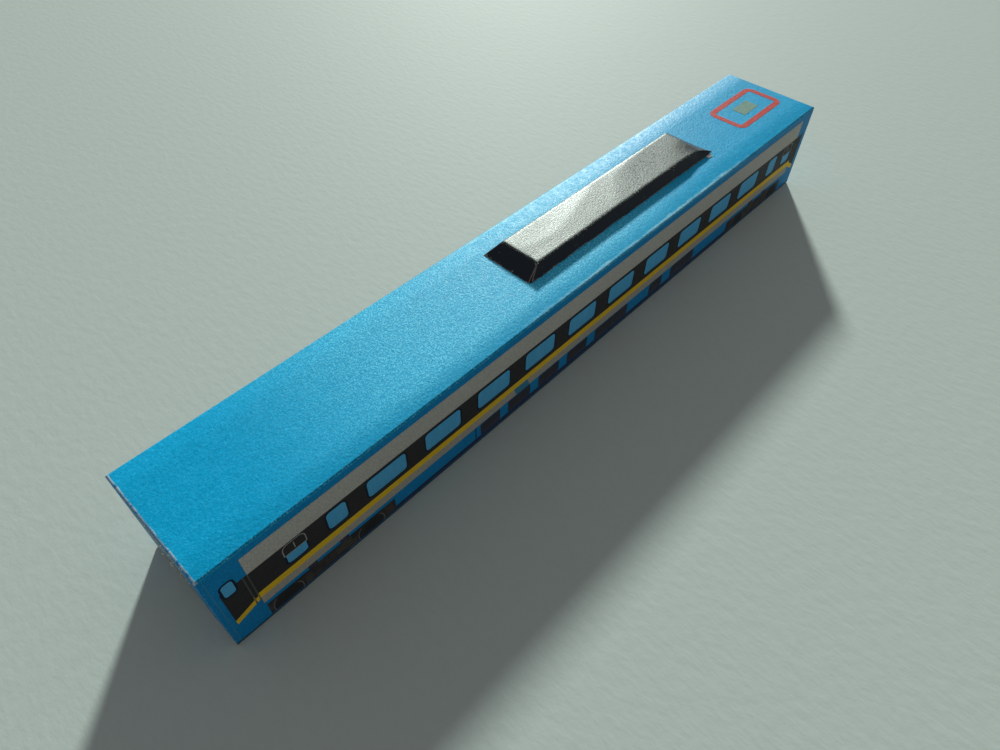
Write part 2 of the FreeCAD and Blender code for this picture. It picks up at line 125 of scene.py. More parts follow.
class CardSettings(bpy.types.PropertyGroup):
    """The printed card of the coach's box."""
    blue: colour("Blue", "Printed blue of the roof, sides and ends", (4, 160, 208))
    # Painted shade in part: a deeper copy of the roof's blue for the upright faces
    shaded_side_blue: colour("Side blue", "Printed blue of the sides and ends, a shade deeper", (2, 128, 186))
    grey: colour("Grey", "Bands above and below the windows", (176, 174, 166))
    # Painted shade: the band under the windows is a darker, browner copy of the grey above, for the shade
    # near the table
    shaded_low_grey: colour("Low grey", "Band under the windows, a shade browner", (165, 161, 149))
    charcoal: colour("Charcoal", "Window band", (46, 45, 45))
    yellow: colour("Yellow", "Stripe under the windows", (228, 188, 40))
    pane: colour("Pane", "Window panes", (78, 168, 214))
    outline: colour("Outline", "Lines round the panes", (22, 32, 48))
    light_line: colour("Light line", "Opening flaps of the end windows", (148, 150, 144))
    post: colour("Post", "Edges of the door frame", (74, 82, 78))
    teal: colour("Teal", "Filler flap", (62, 128, 156))
    navy: colour("Navy", "Sole strip", (40, 52, 78))
    underframe: colour("Underframe", "Boxes between the bogies", (50, 52, 57))
    bogie: colour("Bogie", "Bogies and wheels", (42, 41, 42))
    olive: colour("Olive", "Springs and bolsters", (70, 68, 62))
    rim: colour("Rim", "Light arcs of the wheels", (104, 102, 96))
    red: colour("Red", "Frame of the roof hatch", (188, 60, 54))
    hatch: colour("Hatch", "Panel of the roof hatch", (112, 146, 132))
    core: colour("Core", "White paper inside the card", (216, 215, 206))
    # Also sets the strength of the painted highlights along the long folds and on the roof's crest
    wear_and_highlight: share("Wear", "How much print the folds have lost", 0.6)
    grain: length("Grain", "Depth of the paper's grain", 0.06)


class LidSettings(bpy.types.PropertyGroup):
    """The folded black lid on the roof."""
    black: colour("Black", "Coated black card", (7, 9, 28))
    door_run: length("Door-end run", "Reach of the slope at the door end", 3.1)
    plain_run: length("Plain-end run", "Reach of the slope at the plain end", 3.3)
    side_run: length("Side run", "Reach of the two long slopes", 1.35)
    card: length("Card", "Thickness of the lid's card", 0.22)
    fold: length("Fold", "Width of the rounded folds", 0.15)
    gap: length("Corner gap", "Opening of the near corner at its foot", 0.85)
    ragged: length("Ragged", "How far the cut edge wanders", 0.3)
    curl: length("Curl", "Lift of the near corner at the plain end", 0.3)
    dip: length("Dip", "How far the top's near corner at the plain end is pressed down", 0.5)
    dip_reach: length("Dip reach", "How far from that corner the top starts to bend", 4.2)
    fibre_count: IntProperty(name="Fibres", description="Loose fibres along each long fold",
                             default=150, min=0, max=600)
    fibre_length: length("Fibre length", "Longest loose fibre", 0.55)


class TableSettings(bpy.types.PropertyGroup):
    """The table under the coach and the lamps over it."""
    paper: colour("Table paper", "Pale paper that the coach stands on", (178, 190, 184))
    key: FloatProperty(name="Key", description="Strength of the low light behind", default=4.7,
                       min=0)
    fill: FloatProperty(name="Fill", description="Power of the lamp beside the camera",
                        default=0.06, min=0)
    sky: FloatProperty(name="Sky", description="Level light from all round", default=0.24, min=0)
    backdrop: colour("Backdrop", "Pale room beyond the table", (180, 191, 186))


def lid_folds(lid):
    """Where the lid's top folds down: x at the door end and the plain end, y near and far."""
    return (LID_LOW[0] + lid.door_run, LID_HIGH[0] - lid.plain_run,
            LID_LOW[1] + lid.side_run, LID_HIGH[1] - lid.side_run)


def put(tree, kind, inputs=None, **settings):
    """Adds one node, sets its options, and fills its inputs with values or links."""
    node = tree.nodes.new(kind)
    for name, value in settings.items():
        setattr(node, name, value)
    for name, value in (inputs or {}).items():
        socket = node.inputs[name]
        if isinstance(value, bpy.types.NodeSocket):
            tree.links.new(value, socket)
        else:
            socket.default_value = value
    return node


def calc(tree, operation, first, second=0.0):
    return put(tree, "ShaderNodeMath", {0: first, 1: second}, operation=operation).outputs[0]


def times(tree, first, second):
    return calc(tree, "MULTIPLY", first, second)


def plus(tree, first, second):
    return calc(tree, "ADD", first, second)


def unsigned(tree, value):
    """A value without its sign."""
    return calc(tree, "ABSOLUTE", value)


def apart(tree, first, second):
    """How far apart two values are."""
    return unsigned(tree, calc(tree, "SUBTRACT", first, second))


def ramp(tree, value, start, stop, low=0.0, high=1.0):
    """A smooth step of a value from one level to another."""
    return put(tree, "ShaderNodeMapRange",
               {"Value": value, "From Min": start, "From Max": stop, "To Min": low,
                "To Max": high}, interpolation_type="SMOOTHSTEP").outputs[0]


def blend(tree, amount, first, second):
    """Mixes two colours by an amount."""
    node = put(tree, "ShaderNodeMix", {0: amount}, data_type="RGBA")
    for place, value in ((6, first), (7, second)):
        if isinstance(value, bpy.types.NodeSocket):
            tree.links.new(value, node.inputs[place])
        else:
            node.inputs[place].default_value = (*value[:3], 1)
    return node.outputs[2]


def cloud(tree, where, scale, detail=2.0, stretch=(1, 1, 1), shift=0.0, harsh=0.55):
    """Noise in millimetre coordinates, stretched along any axis."""
    place = put(tree, "ShaderNodeMapping", {"Vector": where, "Scale": stretch,
                                            "Location": (shift, shift, shift)}).outputs[0]
    return put(tree, "ShaderNodeTexNoise", {"Vector": place, "Scale": scale, "Detail": detail,
                                            "Roughness": harsh}).outputs[0]


def millimetres(tree):
    """Object coordinates in millimetres, and their three parts."""
    where = put(tree, "ShaderNodeTexCoord").outputs["Object"]
    place = put(tree, "ShaderNodeMapping", {"Vector": where, "Scale": (1000,) * 3}).outputs[0]
    parts = put(tree, "ShaderNodeSeparateXYZ", {"Vector": place}).outputs
    return place, parts[0], parts[1], parts[2]


def tinted(value, factor, lift=0.0):
    return tuple(min(1.0, c * factor + lift) for c in value)


def print_on(tree, place, base, fleck=0.35):
    """Toner on card: its colour, and the mottle, grain and fibres that its relief follows."""
    broad = ramp(tree, cloud(tree, place, 0.07, 2, shift=3.1), 0.35, 0.65)
    mottle = cloud(tree, place, 0.9, 3, shift=7.7)
    grain = cloud(tree, place, 4.2, 3, shift=1.3)
    fibre = cloud(tree, place, 1.6, 2, stretch=(0.5, 2.2, 2.2), shift=5.9)
    uneven = blend(tree, times(tree, broad, 0.45), base, tinted(base, 0.88))
    mottled = blend(tree, times(tree, ramp(tree, mottle, 0.42, 0.7), 0.3), uneven,
                    tinted(base, 1.12, 0.006))
    gaps = times(tree, ramp(tree, grain, 0.53, 0.66), fleck)
    flecked = blend(tree, gaps, mottled, tinted(base, 1.25, 0.012))
    pits = times(tree, ramp(tree, grain, 0.46, 0.33), fleck)
    flecked = blend(tree, pits, flecked, tinted(base, 0.7))
    dark = times(tree, ramp(tree, fibre, 0.56, 0.74), 0.28)
    return blend(tree, dark, flecked, tinted(base, 0.78)), (mottle, grain, fibre)


def roughen(tree, shader, height, depth):
    """Gives a surface its relief."""
    bump = put(tree, "ShaderNodeBump", {"Height": height, "Strength": 1.0, "Distance": depth})
    tree.links.new(bump.outputs[0], shader.inputs["Normal"])


def finish_print(tree, shader, place, tone, relief, depth, rough=(0.38, 0.5), bend=0.0):
    """Colour, roughness and grain of a printed surface, and a soft bend if it has one."""
    mottle, grain, fibre = relief
    tree.links.new(tone, shader.inputs["Base Color"])
    tree.links.new(ramp(tree, mottle, 0.3, 0.7, *rough), shader.inputs["Roughness"])
    shader.inputs["Specular IOR Level"].default_value = PRINT_GLOSS
    felt = cloud(tree, place, 2.4, 4, shift=14.2, harsh=0.65)
    height = plus(tree, times(tree, grain, 0.3), times(tree, fibre, 0.2))
    height = plus(tree, height, times(tree, felt, 1.2))
    roughen(tree, shader, plus(tree, height, bend), depth)


def new_material(name):
    material = bpy.data.materials.new(name)
    material.use_nodes = True
    tree = material.node_tree
    return material, tree, tree.nodes["Principled BSDF"]


def fold_line(tree, first, first_at, second, second_at, near, far):
    """One along a fold where two faces meet, fading out either side of it."""
    across = calc(tree, "SUBTRACT", first_at, unsigned(tree, first))
    down = calc(tree, "SUBTRACT", second_at, unsigned(tree, second))
    return ramp(tree, plus(tree, across, down), near, far, 1.0, 0.0)


def worn_and_highlit_folds(tree, where, fold_wear_and_highlight, wear_and_highlight, tone, blue):
    """Pale flecks along every fold of the roof, on the long folds partly worn print and partly a painted
    highlight, and a worn line along the door end's.
    """
    place, x, _, z = where
    outer = plus(tree, unsigned(tree, x), times(tree, cloud(tree, place, 0.45, 4, shift=23.0), 0.5))
    end_line = times(tree, ramp(tree, outer, HALF_LONG - 0.14, HALF_LONG - 0.06),
                     ramp(tree, z, TOP - 0.14, TOP - 0.05))
    end_line = times(tree, times(tree, end_line, ramp(tree, x, 10.0, -10.0, 0.3, 1.0)),
                     ramp(tree, cloud(tree, place, 1.4, 5, shift=5.2, harsh=0.7), 0.4, 0.5, 0.1, 1.0))
    end_flecks = times(tree, fold_line(tree, x, HALF_LONG, z, TOP, 0.25, 0.55),
                       ramp(tree, cloud(tree, place, 6.0, 3, shift=8.8), 0.6, 0.68))
    # Worn flecks, with a painted highlight on the long folds
    worn = calc(tree, "MAXIMUM", fold_wear_and_highlight, times(tree, end_flecks, 0.5))
    tone = blend(tree, times(tree, worn, wear_and_highlight), tone, tinted(blue, 0.75, 0.34))
    return blend(tree, times(tree, end_line, wear_and_highlight), tone, ink(200, 218, 220))


def roof_crest_and_sheen(tree, where, wear_and_highlight, tone):
    """A crest along the long folds, partly rubbed print and partly a painted highlight where the folds
    catch the light, and painted glints of sheen over the roof's middle.
    """
    place, x, y, z = where
    rubbed = ramp(tree, apart(tree, x, 16.0), 36.0, 22.0)
    patchy = ramp(tree, cloud(tree, place, 0.35, 4, stretch=(0.5, 1, 1), shift=11.0), 0.3, 0.55)
    inner = plus(tree, unsigned(tree, y), times(tree, cloud(tree, place, 0.5, 3, shift=17.0), 0.9))
    # Painted highlight in part: a pale crest just inside the long folds, mixed with rubbed print
    crest = times(tree, ramp(tree, inner, HALF_WIDE - 0.4, HALF_WIDE - 0.12),
                  ramp(tree, z, TOP - 0.2, TOP - 0.08))
    crest = times(tree, crest, times(tree, patchy, rubbed))
    crest = times(tree, crest,
                  ramp(tree, cloud(tree, place, 3.2, 3, shift=19.0), 0.4, 0.6, 0.45, 1.0))
    tone = blend(tree, times(tree, crest, calc(tree, "SQRT", wear_and_highlight)), tone, ink(172, 226, 240))
    # Painted sheen: pale cyan glints over the roof's middle, fading towards the long folds
    sheen_zone = times(tree, ramp(tree, apart(tree, x, -12.0), 50.0, 18.0),
                    ramp(tree, z, TOP - 0.06, TOP - 0.02))
    sheen_zone = times(tree, sheen_zone, ramp(tree, y, 0.5 - HALF_WIDE, 3.6 - HALF_WIDE, 0.3, 1.0))
    glints = times(tree, ramp(tree, cloud(tree, place, 4.2, 4, shift=21.0), 0.47, 0.6, 0.18),
                   sheen_zone)
    return blend(tree, times(tree, glints, 0.85), tone, ink(106, 220, 250))


def bare_corners(tree, where, settings, tone):
    """White paper where the upright corners are rubbed and the roof's tips are worn through."""
    place, x, y, z = where
    corner = ramp(tree, fold_line(tree, x, HALF_LONG, y, HALF_WIDE, 0.05, 0.32), 0.0, 1.0)
    corner = times(tree, corner, ramp(tree, cloud(tree, place, 1.1, 3, shift=6.5), 0.55, 0.7))
    tone = blend(tree, times(tree, corner, 0.3), tone, settings.core)
    tip = plus(tree, calc(tree, "SUBTRACT", HALF_LONG, unsigned(tree, x)),
               calc(tree, "SUBTRACT", HALF_WIDE, unsigned(tree, y)))
    tip = plus(tree, tip, times(tree, cloud(tree, place, 2.2, 4, shift=13.3), 0.6))
    tip = times(tree, ramp(tree, tip, 0.8, 0.5), ramp(tree, z, TOP - 0.45, TOP - 0.2))
    return blend(tree, times(tree, tip, settings.wear_and_highlight), tone, settings.core)


def foot_and_cuts(tree, where, settings, tone):
    """Faint upright guide lines by the corners, a foot that darkens towards the bottom, and bare cut edges.
    """
    place, x, y, z = where
    guide = times(tree, ramp(tree, apart(tree, unsigned(tree, x), HALF_LONG - 0.72), 0.13, 0.03, 0.0, 0.28),
                  ramp(tree, z, TOP - 0.6, TOP - 1.4))
    tone = blend(tree, guide, tone, ink(96, 132, 120))
    # Darker towards the foot of the card
    darker_at_foot = plus(tree, z, times(tree, cloud(tree, place, 0.8, 3, shift=9.9), 0.3))
    tone = blend(tree, ramp(tree, darker_at_foot, 0.85, 0.55, 0.0, 0.85), tone, ink(24, 28, 36))
    cut = ramp(tree, unsigned(tree, x), HALF_LONG - 0.03, HALF_LONG - 0.005)
    edge = ramp(tree, unsigned(tree, y), HALF_WIDE - 0.27, HALF_WIDE - 0.25)
    bare = times(tree, times(tree, cut, edge),
                 ramp(tree, cloud(tree, place, 1.3, 4, shift=12.4), 0.42, 0.66, 0.1, 0.6))
    return blend(tree, bare, tone, settings.core)


def blue_card(settings, name, blue):
    """The box's card: blue print, pale folds that are partly worn and partly a painted highlight, painted
    shade in the long folds, painted glints on the roof, and white where it was cut.
    """
    material, tree, shader = new_material(name)
    where = millimetres(tree)
    place, _, y, z = where
    tone, relief = print_on(tree, place, blue, 0.7)
    flecks = ramp(tree, cloud(tree, place, 5.2, 3, shift=2.2), 0.52, 0.64)
    thin = fold_line(tree, y, HALF_WIDE, z, TOP, 0.2, 0.31)
    # Pale flecks on the long folds: partly worn print, partly a painted highlight where the folds catch the
    # light
    fold_wear_and_highlight = times(tree, times(tree, thin, flecks), 0.55)
    tone = worn_and_highlit_folds(tree, where, fold_wear_and_highlight, settings.wear_and_highlight, tone, blue)
    tone = roof_crest_and_sheen(tree, where, settings.wear_and_highlight, tone)
    # Painted shade: a thin dark line in the long folds
    painted_fold_shade = times(tree, fold_line(tree, y, HALF_WIDE, z, TOP, 0.19, 0.25),
                   calc(tree, "SUBTRACT", 0.6, times(tree, fold_wear_and_highlight, 1.2)))
    tone = blend(tree, painted_fold_shade, tone, tinted(blue, 0.3))
    tone = bare_corners(tree, where, settings, tone)
    tone = foot_and_cuts(tree, where, settings, tone)
    bend = ramp(tree, unsigned(tree, y), HALF_WIDE - BEND_REACH, HALF_WIDE + BEND_REACH, 0.0, -BEND)
    finish_print(tree, shader, place, tone, relief, settings.grain, bend=bend)
    return material


def plain_print(name, base, settings, fleck=0.3):
    """One printed colour with the card's grain in it."""
    material, tree, shader = new_material(name)
    place = millimetres(tree)[0]
    tone, relief = print_on(tree, place, base, fleck)
    finish_print(tree, shader, place, tone, relief, settings.grain, (0.42, 0.56))
    return material


def pane_print(settings):
    """Sky-blue panes: a little deeper towards the foot, with faint slanted streaks."""
    material, tree, shader = new_material("pane_print")
    place, _, _, z = millimetres(tree)
    tone, relief = print_on(tree, place, settings.pane, 0.2)
    deep = ramp(tree, z, 12.2, 8.2, 0.0, 0.35)
    tone = blend(tree, deep, tone, tinted(settings.pane, 0.82))
    slant = put(tree, "ShaderNodeMapping", {"Vector": place, "Rotation": (0, 0.7, 0),
                                            "Scale": (1.3, 1, 0.18)}).outputs[0]
    streak = ramp(tree, cloud(tree, slant, 1.0, 2), 0.45, 0.7, 0.0, 0.25)
    tone = blend(tree, streak, tone, tinted(settings.pane, 1.1, 0.05))
    finish_print(tree, shader, place, tone, relief, settings.grain)
    return material


def post_print(settings):
    """Door-frame edges: faint, tinged by the stripe they cross, lost in the blue under it."""
    material, tree, shader = new_material("post_print")
    place, _, _, z = millimetres(tree)
    tone, relief = print_on(tree, place, settings.post)
    across = times(tree, ramp(tree, z, STRIPE_LOW + 1.3, STRIPE_LOW + 1.1),
                   ramp(tree, z, STRIPE_LOW - 0.1, STRIPE_LOW + 0.1))
    tone = blend(tree, times(tree, across, 0.3), tone, settings.yellow)
    tone = blend(tree, ramp(tree, z, STRIPE_LOW, STRIPE_LOW - 1.2, 0.0, 0.9), tone, settings.shaded_side_blue)
    finish_print(tree, shader, place, tone, relief, settings.grain)
    return material


def bogie_print(settings):
    """Bogies: dark wheel discs, browner frames between them and a navy foot."""
    material, tree, shader = new_material("bogie_print")
    place, x, _, z = millimetres(tree)
    tone, relief = print_on(tree, place, settings.bogie, 0.35)
    up = calc(tree, "SUBTRACT", z, AXLE_HIGH)
    hubs = []
    for axle in AXLES:
        across = calc(tree, "SUBTRACT", unsigned(tree, x), axle)
        away = plus(tree, times(tree, across, across), times(tree, up, up))
        hubs.append(calc(tree, "SQRT", away))
    reach = calc(tree, "MINIMUM", *hubs)
    frames = ramp(tree, reach, 2.1, 2.5)
    patches = ramp(tree, cloud(tree, place, 0.55, 3, stretch=(1.6, 1, 0.8), shift=4.0), 0.38, 0.62)
    tone = blend(tree, times(tree, frames, times(tree, patches, 0.7)), tone, ink(74, 68, 64))
    tone = blend(tree, ramp(tree, reach, 2.2, 0.6, 0.0, 0.6), tone, ink(34, 33, 32))
    tone = blend(tree, ramp(tree, z, 1.5, 0.8, 0.0, 0.55), tone, settings.navy)
    tone = blend(tree, ramp(tree, z, 3.2, 3.7, 0.0, 0.35), tone, ink(36, 60, 92))
    finish_print(tree, shader, place, tone, relief, settings.grain)
    return material


def underframe_print(settings):
    """Boxes between the bogies: brown-black at the top, running into navy below."""
    material, tree, shader = new_material("underframe_print")
    place, _, _, z = millimetres(tree)
    tone, relief = print_on(tree, place, settings.underframe, 0.3)
    red = ramp(tree, cloud(tree, place, 0.6, 3, shift=9.0), 0.45, 0.65, 0.0, 0.25)
    tone = blend(tree, red, tone, ink(74, 50, 56))
    tone = blend(tree, ramp(tree, z, 2.9, 1.6, 0.0, 0.7), tone, ink(56, 66, 90))
    tone = blend(tree, ramp(tree, z, 3.8, 4.2, 0.0, 0.6), tone, ink(44, 72, 100))
    finish_print(tree, shader, place, tone, relief, settings.grain)
    return material


def black_base(settings):
    """The base's card: blackened, scuffed pale along its two long folds."""
    material, tree, shader = new_material("blackened_base_card")
    place, x, y, _ = millimetres(tree)
    tone, relief = print_on(tree, place, ink(44, 46, 54), 0.3)
    scuff = ramp(tree, cloud(tree, place, 1.1, 4, stretch=(0.4, 1, 1), shift=8.0), 0.52, 0.68)
    near_fold = ramp(tree, unsigned(tree, y), HALF_WIDE - 0.5, HALF_WIDE - 0.2)
    tone = blend(tree, times(tree, times(tree, scuff, near_fold), 0.5), tone, ink(120, 118, 112))
    cut = ramp(tree, unsigned(tree, x), HALF_LONG - 0.03, HALF_LONG - 0.005)
    bare = times(tree, cut, ramp(tree, scuff, 0.0, 1.0, 0.2, 0.6))
    tone = blend(tree, bare, tone, settings.core)
    finish_print(tree, shader, place, tone, relief, settings.grain)
    return material


def lid_card(card, lid, name, gloss):
    """Coated black card: satin, with a rough grain that breaks up its shine; its top has pale scuffs that
    are partly painted sheen, and coloured flecks that are painted glints.
    """
    material, tree, shader = new_material(name)
    place, _, y, z = millimetres(tree)
    grain = cloud(tree, place, 2.8, 4, shift=1.0, harsh=0.7)
    fine = cloud(tree, place, 5.0, 2, shift=4.4)
    fibre = cloud(tree, place, 1.5, 3, stretch=(0.4, 2.0, 2.0), shift=6.1)
    broad = cloud(tree, place, 0.12, 2, shift=2.5)
    top = ramp(tree, z, LID_TOP / MM - 0.22, LID_TOP / MM - 0.08)
    # Pale scuffs on the top, partly painted sheen
    scuff_and_sheen = times(tree, ramp(tree, plus(tree, fine, times(tree, broad, 0.3)), 0.56, 0.8), top)
    tone = blend(tree, ramp(tree, fine, 0.4, 0.7, 0.0, 0.6), lid.black, tinted(lid.black, 1.5, 0.002))
    tone = blend(tree, times(tree, scuff_and_sheen, 0.18), tone, ink(150, 162, 148))
    # Painted glints: pink and green flecks on the top only
    hue = cloud(tree, place, 2.6, 2, shift=12.0)
    flecked = times(tree, top, 0.42)
    tone = blend(tree, times(tree, ramp(tree, hue, 0.58, 0.7), flecked), tone, ink(190, 138, 128))
    tone = blend(tree, times(tree, ramp(tree, hue, 0.42, 0.3), flecked), tone, ink(112, 186, 146))
    specks = times(tree, ramp(tree, cloud(tree, place, 1.7, 4, shift=9.3), 0.68, 0.74), 0.8)
    tone = blend(tree, specks, tone, ink(150, 142, 132))
    rim = put(tree, "ShaderNodeAttribute", attribute_name="cut_edge").outputs["Fac"]
    rim = plus(tree, rim, times(tree, calc(tree, "SUBTRACT", fine, 0.5), 0.5))
    bare = ramp(tree, cloud(tree, place, 0.8, 4, shift=15.1), 0.4, 0.56, 0.05, 0.7)
    tone = blend(tree, times(tree, ramp(tree, rim, 0.74, 0.9), bare), tone, ink(156, 142, 130))
    tree.links.new(tone, shader.inputs["Base Color"])
    far_fold = lid_folds(lid)[3] / MM
    dull = ramp(tree, apart(tree, y, far_fold), 0.5, 0.15, 0.0, 0.12)
    tree.links.new(plus(tree, ramp(tree, fine, 0.36, 0.64, 0.25, 0.47), dull),
                   shader.inputs["Roughness"])
    shader.inputs["Specular IOR Level"].default_value = gloss
    shader.inputs["Specular Tint"].default_value = (0.91, 1.0, 0.92, 1.0)
    height = plus(tree, plus(tree, times(tree, grain, 0.6), fine), times(tree, fibre, 0.15))
    roughen(tree, shader, height, card.grain * 0.36)
    return material


def paper_core(card, name):
    """Bare paper where the card was torn: off-white and a little dirty, with grey fibres."""
    material, tree, shader = new_material(name)
    place = millimetres(tree)[0]
    fibre = cloud(tree, place, 6.0, 4, stretch=(0.4, 1, 1.6))
    dirty = ramp(tree, cloud(tree, place, 1.2, 3, shift=3.3), 0.4, 0.65, 0.0, 0.1)
    tone = blend(tree, ramp(tree, fibre, 0.4, 0.7, 0.0, 0.5), card.core, tinted(card.core, 0.72))
    tone = blend(tree, dirty, tone, ink(96, 92, 86))
    tree.links.new(tone, shader.inputs["Base Color"])
    shader.inputs["Roughness"].default_value = 0.9
    roughen(tree, shader, fibre, card.grain)
    return material


def dress(material, *names):
    """Gives CAD nodes a finish and leaves their meshes alone."""
    for name in names:
        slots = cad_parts[name].data.materials
        slots.clear()
        slots.append(material)


def both(name):
    return name + "_near", name + "_far"


def add_piece(name, mesh, materials, replaced=()):
    """Links a finished mesh as a piece of the model."""
    for material in materials:
        mesh.materials.append(material)
    piece = bpy.data.objects.new(name, mesh)
    bpy.context.scene.collection.objects.link(piece)
    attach(piece, "root")
    if replaced:
        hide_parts(*replaced)


def scene_object(mesh, name):
    """Turns a built-up mesh into an object in the scene."""
    data = bpy.data.meshes.new(name)
    mesh.to_mesh(data)
    mesh.free()
    made = bpy.data.objects.new(name, data)
    bpy.context.scene.collection.objects.link(made)
    return made


def give_wall(sheet, thickness):
    """Makes a sheet as thick as its card, inwards from its outer face."""
    wall = sheet.modifiers.new("Card", "SOLIDIFY")
    wall.thickness, wall.offset = thickness, -1.0


def baked(source, name):
    """The evaluated mesh of an object with its modifiers, and the object removed."""
    bpy.context.view_layer.update()
    evaluated = source.evaluated_get(bpy.context.evaluated_depsgraph_get())
    mesh = bpy.data.meshes.new_from_object(evaluated)
    mesh.name = name
    places = [face.material_index for face in mesh.polygons]
    mesh.materials.clear()
    mesh.polygons.foreach_set("material_index", places)
    bpy.data.objects.remove(source)
    return mesh


def patch(mesh, corners, across, down, shift):
    """A grid between four corners, each point moved by a function of its place in it."""
    top_start, top_stop, low_start, low_stop = (Vector(c) for c in corners)
    rows = []
    for row in range(down + 1):
        v = row / down
        line = []
        for column in range(across + 1):
            u = column / across
            point = top_start.lerp(top_stop, u).lerp(low_start.lerp(low_stop, u), v)
            line.append(mesh.verts.new(shift(point, u, v)))
        rows.append(line)
    faces = []
    for upper, lower in zip(rows, rows[1:]):
        for n in range(across):
            faces.append(mesh.faces.new((upper[n], lower[n], lower[n + 1], upper[n + 1])))
    return faces


def wander(along, seed):
    """A scissors' wander along a cut, from 0 to 1."""
    slow = noise.noise(Vector((along * 0.22, seed, 0.0)))
    quick = noise.noise(Vector((along * 1.3, seed + 9.0, 0.0)))
    return min(1.0, max(0.0, 0.45 + slow * 0.8 + quick * 0.35))


def folded_lid(lid):
    """The lid's sheet: a top and four slopes, open along the four corners."""
    low_x, low_y = LID_LOW
    high_x, high_y = LID_HIGH
    start, stop, near, far = lid_folds(lid)
    rise = LID_TOP - ROOF_Z
    mesh = bmesh.new()
    fold = mesh.edges.layers.float.new("bevel_weight_edge")
    cut = mesh.verts.layers.float.new("cut_edge")

    def level(point):
        """The top isn't quite flat, dips at one corner, and its slopes follow it down."""
        high = (point.z - ROOF_Z) / rise
        swell = noise.noise(Vector((point.x / MM * 0.06, point.y / MM * 0.16, 4.0)))
        away = math.hypot(point.x - stop, point.y - near)
        dip = max(0.0, 1.0 - away / lid.dip_reach) ** 1.5 * lid.dip
        return Vector((point.x, point.y, point.z - (abs(swell) * 0.09 * MM + dip) * high))

    def plain(point, u, v):
        return level(point)

    def trimmed(direction, seed, amount):
        """Cuts the foot of a slope short by a wandering amount, and lifts the near corner."""
        def shift(point, u, v):
            along = (point.x if direction.y else point.y) / MM
            short = lid.ragged * wander(along, seed) * amount * v
            moved = point - direction * short
            if direction.y < 0:
                moved.z += lid.curl * (max(0.0, u - 0.94) / 0.06) ** 2 * v
            elif direction.x > 0:
                moved.z += lid.curl * (max(0.0, 0.5 - u) / 0.5) ** 2 * v
            return level(moved)
        return shift

    half_gap = lid.gap / 2
    small = 0.06 * MM
    near_dir = Vector((0, -lid.side_run, -rise)).normalized()
    far_dir = Vector((0, lid.side_run, -rise)).normalized()
    door_dir = Vector((-lid.door_run, 0, -rise)).normalized()
    plain_dir = Vector((lid.plain_run, 0, -rise)).normalized()
    z, top = ROOF_Z, LID_TOP
    panels = [
        patch(mesh, ((start, far, top), (stop, far, top), (start, near, top), (stop, near, top)),
              90, 14, plain),
        patch(mesh, ((start, near, top), (stop, near, top), (low_x + half_gap, low_y, z),
                     (high_x - small, low_y, z)), 90, 5, trimmed(near_dir, 1.0, 1.0)),
        patch(mesh, ((stop, far, top), (start, far, top), (high_x - small, high_y, z),
                     (low_x + small, high_y, z)), 90, 5, trimmed(far_dir, 2.0, 0.8)),
        patch(mesh, ((start, far, top), (start, near, top), (low_x, high_y - small, z),
                     (low_x, low_y + half_gap, z)), 14, 6, trimmed(door_dir, 3.0, 0.5)),
        patch(mesh, ((stop, near, top), (stop, far, top), (high_x, low_y + small, z),
                     (high_x, high_y - small, z)), 14, 6, trimmed(plain_dir, 4.0, 0.5)),
    ]
    owner = {face: n for n, faces in enumerate(panels) for face in faces}
    mesh.faces.index_update()
    marks = {face.index: owner[face] for face in mesh.faces}
    for face in mesh.faces:
        face.material_index = 0 if owner[face] in (0, 4) else 1
    bmesh.ops.remove_doubles(mesh, verts=mesh.verts, dist=0.01 * MM)
    for vert in mesh.verts:
        vert[cut] = 1.0 if vert.is_boundary else 0.0
    for edge in mesh.edges:
        if len(edge.link_faces) == 2:
            first, second = (marks[face.index] for face in edge.link_faces)
            if first != second:
                edge[fold] = 1.0
    mesh.normal_update()
    sheet = scene_object(mesh, "lid_sheet")
    # Two empty slots, so that the faces keep their material numbers
    sheet.data.materials.append(None)
    sheet.data.materials.append(None)
    bevel = sheet.modifiers.new("Folds", "BEVEL")
    bevel.limit_method, bevel.width, bevel.segments = "WEIGHT", lid.fold, 3
    give_wall(sheet, lid.card)
    return baked(sheet, "lid_sheet")


